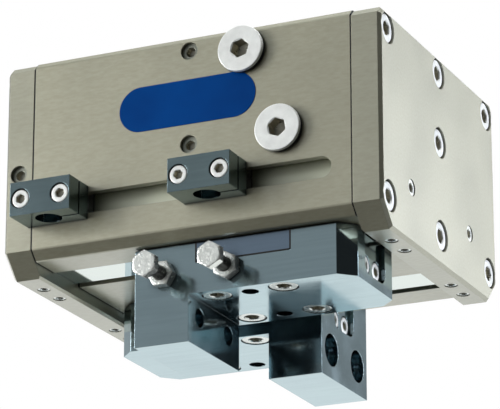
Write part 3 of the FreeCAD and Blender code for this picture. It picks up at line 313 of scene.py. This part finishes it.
# the clamps' painted shade reaches further, darkening their sides near the housing
CLAMPS = black_steel("clamp_steel", rgb("90A3A8"), rgb("9AADB1"), reach=6.0 * MM, roughness=0.16)
STRIPS = polished_strip()
SCREWS = bright_steel("bright_screws", rgb("F6F8F5"), 0.36, metallic=0.2)
PLUGS = bright_steel("bright_plugs", rgb("EAEDE6"), 0.34, metallic=0.6)
BOLTS = forged_steel("bright_bolts", rgb("FDFFFA"), 0.22)
GROUND = bright_steel("ground_steel", rgb("C7C9CC"), 0.2)
MACHINED = bright_steel("machined_steel", rgb("9FA1A4"), 0.3)
PISTONS = bright_steel("piston_steel", rgb("B9BBBE"), 0.25)
RUBBER = rubber()
BRONZE = bronze()
LABEL = label_blue()
# the material of the painted shade in the gaps round the base jaws' feet
GAP_SHADE = painted_gap_shade()
STEEL_SCREWS = bright_steel("steel_screws", rgb("EFF2EF"), 0.24, metallic=0.95)
SHANKS = bright_steel("bolt_shanks", rgb("8F918C"), 0.3)
SOCKET = bright_steel("socket_walls", rgb("BDB9AA"), 0.3, metallic=0.75)
DUCTS = bright_steel("duct_plugs", rgb("A0A296"), 0.36)

BY_SLOT = {
    "housing": HOUSING, "plates": PLATES, "jaws": JAWS, "base_jaws": BASE_JAWS,
    "clamps": CLAMPS, "strips": STRIPS, "screws": SCREWS, "plugs": PLUGS,
    "bright_steel": GROUND, "gear_steel": MACHINED, "pistons": PISTONS,
    "bushes": BRONZE, "seals": RUBBER,
}
RECORD = frame["record"]
SLOT_OF = {part["node"]: part["material_slot"] for part in RECORD["subparts"]}
BODY_OF = {node: body for body, members in RECORD["behaviour"]["bodies"].items()
           for node in members}
for node, obj in nodes.items():
    for holder in obj.material_slots:
        holder.material = BY_SLOT[SLOT_OF[node]]


# Detailed fasteners in place of the plain ones

WELD = 0.001 * MM


def solids(node):
    """The box of each separate solid in a CAD node."""
    mesh = bmesh.new()
    mesh.from_mesh(nodes[node].data)
    bmesh.ops.remove_doubles(mesh, verts=mesh.verts, dist=WELD)
    left = set(mesh.verts)
    boxes = []
    while left:
        group = [left.pop()]
        for vert in group:
            for edge in vert.link_edges:
                other = edge.other_vert(vert)
                if other in left:
                    left.remove(other)
                    group.append(other)
        low = Vector([min(v.co[i] for v in group) for i in range(3)])
        high = Vector([max(v.co[i] for v in group) for i in range(3)])
        boxes.append((low, high))
    mesh.free()
    return sorted(boxes, key=lambda box: tuple(box[0]))


def tip_frame(box, outward, spin):
    """Where a fastener's outer face is, with its own +Z turned outward."""
    low, high = box
    middle = (low + high) / 2
    reach = abs((high - low).dot(outward)) / 2
    turn = outward.to_track_quat("Z", "Y").to_matrix().to_4x4()
    return Matrix.Translation(middle + outward * reach) @ turn @ Matrix.Rotation(spin, 4, "Z")


SIDES = 48


def ring(mesh, radius, height, sides=SIDES):
    """A ring of points; radius may be a function of the angle."""
    points = []
    for i in range(sides):
        angle = 2 * math.pi * i / sides
        r = radius(angle) if callable(radius) else radius
        points.append(mesh.verts.new((r * math.cos(angle), r * math.sin(angle), height)))
    return points


def skin(mesh, rings, close_start=True, close_end=True, material=0, inner_from=None, inner=0):
    """Join rings into a surface; from ring inner_from on, faces take the inner material."""
    for level, (lower, upper) in enumerate(zip(rings, rings[1:])):
        index = inner if inner_from is not None and level >= inner_from else material
        count = len(lower)
        for i in range(count):
            j = (i + 1) % count
            face = mesh.faces.new((lower[i], upper[i], upper[j], lower[j]))
            face.material_index = index
    if close_start:
        mesh.faces.new(rings[0]).material_index = material
    if close_end:
        face = mesh.faces.new(list(reversed(rings[-1])))
        face.material_index = material if inner_from is None else inner


def hexagonal(flats):
    """The radius of a hexagon at an angle."""
    def radius(angle):
        return flats / 2 / math.cos((angle + math.pi / 6) % (math.pi / 3) - math.pi / 6)
    return radius


def socket_head(mesh, radius, height, key, depth, chamfer):
    """The outer skin of a round head from its underside up, over and down into its socket."""
    rim = radius - chamfer
    mouth = key / 2 / math.cos(math.pi / 6) + 0.08 * MM
    lead_in, tip = 0.3 * MM, key * 0.16
    return [
        ring(mesh, radius, -height),
        ring(mesh, radius, -chamfer),
        ring(mesh, radius - chamfer * 0.3, -chamfer * 0.3),
        ring(mesh, rim, 0),
        ring(mesh, rim - 0.08 * MM, 0),
        ring(mesh, mouth + 0.06 * MM, 0),
        ring(mesh, mouth, 0),
        ring(mesh, hexagonal(key), -lead_in),
        ring(mesh, hexagonal(key), -depth),
        ring(mesh, 0.02 * MM, -depth - tip),
    ]


SOCKET_RINGS = 3


def cap_screw(mesh, head, height, key, shank, length):
    """A cap screw with a round head; its length includes the head."""
    point = 0.4 * MM
    rings = [ring(mesh, shank / 2 - point, -length),
             ring(mesh, shank / 2, -length + point),
             ring(mesh, shank / 2, -height),
             *socket_head(mesh, head / 2, height, key, depth=height * 0.55, chamfer=0.35 * MM)]
    skin(mesh, rings, inner_from=len(rings) - SOCKET_RINGS, inner=1)


def m5_screw(length):
    """What builds an M5 cap screw of this length."""
    return lambda mesh: cap_screw(mesh, head=8.5 * MM, height=5 * MM, key=4 * MM,
                                  shank=5 * MM, length=length)


def m3_screw(length):
    """What builds an M3 cap screw of this length."""
    return lambda mesh: cap_screw(mesh, head=5.5 * MM, height=3 * MM, key=2.5 * MM,
                                  shank=3 * MM, length=length)


def set_screw(diameter, length, key):
    """What builds a headless plug with a chamfered mouth."""
    def build(mesh):
        rings = [ring(mesh, diameter / 2, -length),
                 *socket_head(mesh, diameter / 2, length * 0.9, key,
                              depth=length * 0.5, chamfer=0.15 * MM)]
        skin(mesh, rings, inner_from=len(rings) - SOCKET_RINGS, inner=1)
    return build


SHARP_ANGLE = math.radians(32)


def add_piece(name, mesh, body, materials, replaced=()):
    """Finish a mesh as an object that rides on a body."""
    bmesh.ops.recalc_face_normals(mesh, faces=mesh.faces)
    data = bpy.data.meshes.new(name)
    mesh.to_mesh(data)
    mesh.free()
    for material in materials:
        data.materials.append(material)
    obj = bpy.data.objects.new(name, data)
    bpy.context.scene.collection.objects.link(obj)
    for polygon in data.polygons:
        polygon.use_smooth = True
    data.set_sharp_from_angle(angle=SHARP_ANGLE)
    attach(obj, body)
    if replaced:
        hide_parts(*replaced)


def dress(node, build, outward_of, materials=(SCREWS, SOCKET), spin=None):
    """Put a detailed fastener wherever the CAD node has a plain one."""
    whole = bmesh.new()
    for box in solids(node):
        one = bmesh.new()
        build(one)
        turn = random.uniform(0, math.pi / 3) if spin is None else spin
        bmesh.ops.transform(one, matrix=tip_frame(box, outward_of(box), turn), verts=one.verts)
        data = bpy.data.meshes.new("scratch")
        one.to_mesh(data)
        one.free()
        whole.from_mesh(data)
        bpy.data.meshes.remove(data)
    add_piece(node + "_detail", whole, BODY_OF[node], materials, (node,))


def always(x, y, z):
    return lambda box: Vector((x, y, z))


def away_from(middle):
    """Outward along X, on either side of a plane."""
    return lambda box: Vector((1 if (box[0].x + box[1].x) / 2 > middle else -1, 0, 0))


dress("left_plate_screws", m5_screw(19 * MM), always(-1, 0, 0))
dress("right_plate_screws", m5_screw(19 * MM), always(1, 0, 0))
dress("cover_screws", m3_screw(8.6 * MM), always(0, 0, 1))
for side in ("front", "rear"):
    dress(f"{side}_jaw_screws", m5_screw(14 * MM), always(0, 0, -1),
          materials=(STEEL_SCREWS, SOCKET))
    low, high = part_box(f"{side}_jaw")
    dress(f"{side}_end_screws", m3_screw(12 * MM), away_from((low.x + high.x) / 2))
for side in ("left", "right"):
    dress(f"{side}_clamp_screws", m3_screw(14.2 * MM), always(0, -1, 0))
dress("plate_foot_plugs", set_screw(diameter=4 * MM, length=4 * MM, key=2 * MM),
      always(0, 0, -1), (STEEL_SCREWS, SOCKET))
dress("plate_side_plugs", set_screw(diameter=5 * MM, length=2.2 * MM, key=2.5 * MM),
      away_from(0), (PLUGS, SOCKET))
dress("front_duct_plugs", set_screw(diameter=5.4 * MM, length=4 * MM, key=2.5 * MM),
      always(0, -1, 0), (DUCTS, SOCKET))


def port_plug(mesh):
    """A collared plug: bright face, black seal under the collar, deep hexagon socket."""
    radius, height, lip = 7.0 * MM, 2.7 * MM, 1.1 * MM
    stem, length = 4.85 * MM, 10.7 * MM
    seal = radius - 0.1 * MM
    skin(mesh, [ring(mesh, stem, -length), ring(mesh, stem, -height)], close_end=False)
    skin(mesh, [ring(mesh, stem, -height), ring(mesh, seal - 0.15 * MM, -height),
                ring(mesh, seal, -lip - 0.1 * MM), ring(mesh, seal, -lip)],
         close_start=False, close_end=False, material=1)
    face = socket_head(mesh, radius, lip, key=5 * MM, depth=4 * MM, chamfer=0.3 * MM)
    skin(mesh, face, close_start=False, inner_from=len(face) - SOCKET_RINGS, inner=2)
    bmesh.ops.remove_doubles(mesh, verts=mesh.verts, dist=WELD)


dress("air_port_plugs", port_plug, always(0, -1, 0), materials=(SCREWS, RUBBER, SOCKET))

# Switching bolts with threads, and their lock nuts

THREAD_PITCH = 0.7 * MM
THREAD_DEPTH = 0.36 * MM
THREAD_SIDES = 32
ROWS_PER_TURN = 10


def thread(mesh, radius, start, length, material):
    """A rod along -Z whose skin rises and falls along a helix."""
    rows = int(length / THREAD_PITCH * ROWS_PER_TURN)
    rings = []
    for row in range(rows + 1):
        along = row / ROWS_PER_TURN

        def wave(angle, along=along):
            """The radius at an angle: ridges with flat tops and flat feet."""
            phase = (along - angle / 2 / math.pi) % 1.0
            ridge = min(1.0, max(0.0, 1.6 * abs(2 * phase - 1) - 0.2))
            return radius - THREAD_DEPTH * (1 - ridge)
        rings.append(ring(mesh, wave, start - length * row / rows, THREAD_SIDES))
    skin(mesh, list(reversed(rings)), material=material)


HEX_SIDES = 96
FACE_SHARE = 0.47
CONE_SHARE = 0.18
CONE_STEPS = 3
FACE_INSET = 0.24 * MM


def hex_chamfered(mesh, flats, height, dome, hole=0.0):
    """A hexagon prism from -height to 0 whose corners are turned off at both ends."""
    shape = hexagonal(flats)
    chamfer = 0.3 * MM

    def turned(step):
        """The radius where the turned cone and the hexagon meet, step by step from the face."""
        cone = flats * (FACE_SHARE + CONE_SHARE * step / CONE_STEPS)
        return lambda angle: min(shape(angle), cone)

    steps = range(CONE_STEPS + 1)
    top = [ring(mesh, turned(k), -dome * k / CONE_STEPS, HEX_SIDES) for k in steps]
    foot = [ring(mesh, turned(k), -height + dome * k / CONE_STEPS, HEX_SIDES) for k in steps]
    face = ring(mesh, flats * FACE_SHARE - FACE_INSET, 0, HEX_SIDES)
    rings = foot + top[::-1] + [face]
    if hole:
        mouth = [ring(mesh, hole, -height, HEX_SIDES)]
        end = [ring(mesh, hole + chamfer, 0, HEX_SIDES), ring(mesh, hole, -chamfer, HEX_SIDES)]
        skin(mesh, mouth + rings + end + mouth, close_start=False, close_end=False)
        bmesh.ops.remove_doubles(mesh, verts=mesh.verts, dist=WELD)
    else:
        skin(mesh, rings)


BOLT_FLATS = 7 * MM
BOLT_RADIUS = 2 * MM
BOLT_DOME = 0.45 * MM


def cam_bolt(mesh):
    height, length = 2.8 * MM, 17.5 * MM
    hex_chamfered(mesh, BOLT_FLATS, height, BOLT_DOME)
    thread(mesh, BOLT_RADIUS, -height, length - height, material=1)


def cam_nut(mesh):
    hex_chamfered(mesh, BOLT_FLATS, 3.2 * MM, BOLT_DOME, hole=BOLT_RADIUS)


dress("cam_bolts", cam_bolt, always(0, -1, 0), (BOLTS, SHANKS), spin=0.0)
dress("cam_lock_nuts", cam_nut, always(0, -1, 0), (BOLTS,))

# The bare label plate on the front face

LABEL_LEFT, LABEL_RIGHT = -22.4 * MM, 21.2 * MM
LABEL_TOP, LABEL_LOW = -13.7 * MM, -27.5 * MM
LABEL_THICK = 0.15 * MM
LABEL_END_SIDES = 32


def label_plate():
    """A thin plate with round ends, and nothing on it."""
    mesh = bmesh.new()
    face_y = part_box("housing_block")[0].y
    radius = (LABEL_TOP - LABEL_LOW) / 2
    middle = (LABEL_TOP + LABEL_LOW) / 2
    outline = []
    ends = ((LABEL_RIGHT - radius, -math.pi / 2), (LABEL_LEFT + radius, math.pi / 2))
    for centre, start in ends:
        for k in range(LABEL_END_SIDES + 1):
            angle = start + math.pi * k / LABEL_END_SIDES
            outline.append((centre + radius * math.cos(angle), middle + radius * math.sin(angle)))
    back = [mesh.verts.new((x, face_y, z)) for x, z in outline]
    front = [mesh.verts.new((x, face_y - LABEL_THICK, z)) for x, z in outline]
    skin(mesh, [back, front])
    add_piece("label_plate", mesh, "housing", (LABEL,))


label_plate()

# Painted shade: dark lines round the base jaws' feet, in the gap between foot and jaw

JOINT_RISE = 0.02 * MM
JOINT_WIDTH = 0.5 * MM
JOINT_OFFSET = 0.12 * MM
SAME_FACE = 0.01 * MM


def gap_shade_line(mesh, start, end, across, outward):
    """A thin bar between two points, as wide as across and barely proud of the surface."""
    corners = ((-1, -1), (1, -1), (1, 1), (-1, 1))
    skin(mesh, [[mesh.verts.new(point + across * side / 2 + outward * JOINT_RISE * level)
                 for side, level in corners] for point in (start, end)])


def foot_gap_shade(side, facing):
    """Three lines of painted shade round the face of a base jaw's foot, which fills a notch in
    its jaw.
    """
    mesh = bmesh.new()
    points = [v.co for v in nodes[f"{side}_base_jaw"].data.vertices]
    face_y = facing * max(facing * point.y for point in points)
    face = [point for point in points if abs(point.y - face_y) < SAME_FACE]
    left = min(point.x for point in face) - JOINT_OFFSET
    right = max(point.x for point in face) + JOINT_OFFSET
    low, top = min(point.z for point in face), max(point.z for point in face)
    outward = Vector((0, facing, 0))
    for x in (left, right):
        gap_shade_line(mesh, Vector((x, face_y, low)), Vector((x, face_y, top)),
                   Vector((JOINT_WIDTH, 0, 0)), outward)
    gap_shade_line(mesh, Vector((left, face_y, low)), Vector((right, face_y, low)),
               Vector((0, 0, JOINT_WIDTH)), outward)
    add_piece(f"{side}_foot_gap_shade", mesh, f"{side}_jaw_set", (GAP_SHADE,))


foot_gap_shade("front", -1)
foot_gap_shade("rear", 1)

# Stage: a pale floor below and behind the hanging gripper, white surroundings, soft lamps

FLOOR_Z = -1.25
FLOOR_SIZE = 4.0
FLOOR_FRONT = 0.15


def floor():
    """Pale to the camera, plain white in the reflections on metal."""
    bpy.ops.mesh.primitive_plane_add(
        size=FLOOR_SIZE, location=(0, FLOOR_FRONT + FLOOR_SIZE / 2, FLOOR_Z))
    obj = bpy.context.object
    obj.name = "floor"
    made = bpy.data.materials.new("floor_pale")
    made.use_nodes = True
    tree = made.node_tree
    shader = tree.nodes["Principled BSDF"]
    shader.inputs["Base Color"].default_value = rgb("E8E8E6")
    shader.inputs["Roughness"].default_value = 0.9
    white = tree.nodes.new("ShaderNodeEmission")
    white.inputs["Color"].default_value = rgb("F8FCFA")
    mix = tree.nodes.new("ShaderNodeMixShader")
    path = tree.nodes.new("ShaderNodeLightPath")
    tree.links.new(path.outputs["Is Glossy Ray"], mix.inputs["Fac"])
    tree.links.new(shader.outputs["BSDF"], mix.inputs[1])
    tree.links.new(white.outputs["Emission"], mix.inputs[2])
    tree.links.new(mix.outputs["Shader"], tree.nodes["Material Output"].inputs["Surface"])
    obj.data.materials.append(made)


floor()


class Surroundings:
    """A studio: bright behind the gripper, dark in front, with soft patches of light."""

    def __init__(self):
        made = bpy.data.worlds.new("surroundings")
        bpy.context.scene.world = made
        made.use_nodes = True
        self.tree = made.node_tree
        self.tree.nodes.clear()
        self.direction = self.tree.nodes.new("ShaderNodeTexCoord").outputs["Generated"]

    def math(self, operation, first, second):
        node = self.tree.nodes.new("ShaderNodeMath")
        node.operation = operation
        for socket, value in zip(node.inputs, (first, second)):
            if isinstance(value, bpy.types.NodeSocket):
                self.tree.links.new(value, socket)
            else:
                socket.default_value = value
        return node.outputs["Value"]

    def patch(self, toward, start, full, strength):
        """Light that rises smoothly as a direction nears the middle of the patch."""
        dot = self.tree.nodes.new("ShaderNodeVectorMath")
        dot.operation = "DOT_PRODUCT"
        self.tree.links.new(self.direction, dot.inputs[0])
        dot.inputs[1].default_value = Vector(toward).normalized()
        rise = self.tree.nodes.new("ShaderNodeMapRange")
        rise.interpolation_type = "SMOOTHSTEP"
        for socket, value in (("From Min", start), ("From Max", full), ("To Max", strength)):
            rise.inputs[socket].default_value = value
        self.tree.links.new(dot.outputs["Value"], rise.inputs["Value"])
        return rise.outputs["Result"]

    def background(self, strength, color=(1, 1, 1, 1)):
        node = self.tree.nodes.new("ShaderNodeBackground")
        node.inputs["Color"].default_value = color
        if isinstance(strength, bpy.types.NodeSocket):
            self.tree.links.new(strength, node.inputs["Strength"])
        else:
            node.inputs["Strength"].default_value = strength
        return node.outputs["Background"]

    def finish(self, light, white_share):
        """The camera sees plain white; shiny surfaces see it on the bright side."""
        path = self.tree.nodes.new("ShaderNodeLightPath").outputs
        shiny = self.math("MAXIMUM", path["Is Glossy Ray"], path["Is Transmission Ray"])
        share = self.math("MAXIMUM", path["Is Camera Ray"],
                          self.math("MULTIPLY", shiny, white_share))
        mix = self.tree.nodes.new("ShaderNodeMixShader")
        self.tree.links.new(share, mix.inputs["Fac"])
        self.tree.links.new(self.background(light, rgb("F6FDFF")), mix.inputs[1])
        self.tree.links.new(self.background(1.0), mix.inputs[2])
        output = self.tree.nodes.new("ShaderNodeOutputWorld")
        self.tree.links.new(mix.outputs["Shader"], output.inputs["Surface"])


AMBIENT = 0.02


def surroundings():
    made = Surroundings()
    behind = made.patch((-0.45, 0.82, -0.35), start=0.58, full=0.88, strength=1.0)
    far_side = made.patch((0, 1, 0), start=-0.1, full=0.6, strength=0.24)
    front_left = made.patch((-0.6, -0.75, 0.25), start=0.6, full=0.9, strength=0.3)
    overhead = made.patch((0, 0, 1), start=0.8, full=0.98, strength=1.0)
    below = made.patch((0.35, 0.4, -0.85), start=0.75, full=0.97, strength=0.35)
    light = behind
    for more in (far_side, front_left, overhead, below, AMBIENT):
        light = made.math("ADD", light, more)
    made.finish(light, behind)


surroundings()

MIDDLE = Vector((0, 0, -0.04))


def area(name, spot, size, power, color="FFFFFF", mirrored=True):
    """A soft square lamp turned to the gripper; a fill lamp isn't mirrored in polished metal."""
    data = bpy.data.lights.new(name, "AREA")
    data.shape = "SQUARE"
    data.size = size
    data.energy = power
    data.color = rgb(color)[:3]
    obj = bpy.data.objects.new(name, data)
    obj.location = spot
    obj.rotation_euler = (MIDDLE - Vector(spot)).to_track_quat("-Z", "Y").to_euler()
    obj.visible_camera = False
    obj.visible_glossy = mirrored
    bpy.context.scene.collection.objects.link(obj)


area("key", (-0.8, -0.56, 0.03), size=0.5, power=5.7)
area("side", (1.1, 0.95, 0.12), size=0.7, power=16.7, color="F1F5FF")
area("front_fill", (-0.6, -1.15, -0.02), size=1.3, power=9.2, mirrored=False)
area("top", (0.1, 0.2, 1.2), size=1.0, power=42.0, mirrored=False)

# Camera at the photograph's angle

AZIMUTH, ELEVATION = math.radians(24.74), math.radians(-18.88)
DISTANCE = 0.9341
LENS = 224.47
SENSOR = 36.0
TARGET = Vector((-1.3, 0.0, -37.8)) * MM


def camera():
    data = bpy.data.cameras.new("camera")
    data.sensor_width = SENSOR
    data.lens = LENS
    data.clip_start, data.clip_end = 0.01, 20.0
    obj = bpy.data.objects.new("camera", data)
    toward = Vector((math.sin(AZIMUTH) * math.cos(ELEVATION),
                     -math.cos(AZIMUTH) * math.cos(ELEVATION), math.sin(ELEVATION)))
    obj.location = TARGET + toward * DISTANCE
    obj.rotation_euler = (-toward).to_track_quat("-Z", "Y").to_euler()
    bpy.context.scene.collection.objects.link(obj)
    bpy.context.scene.camera = obj


camera()
bpy.context.scene.view_settings.view_transform = "Standard"
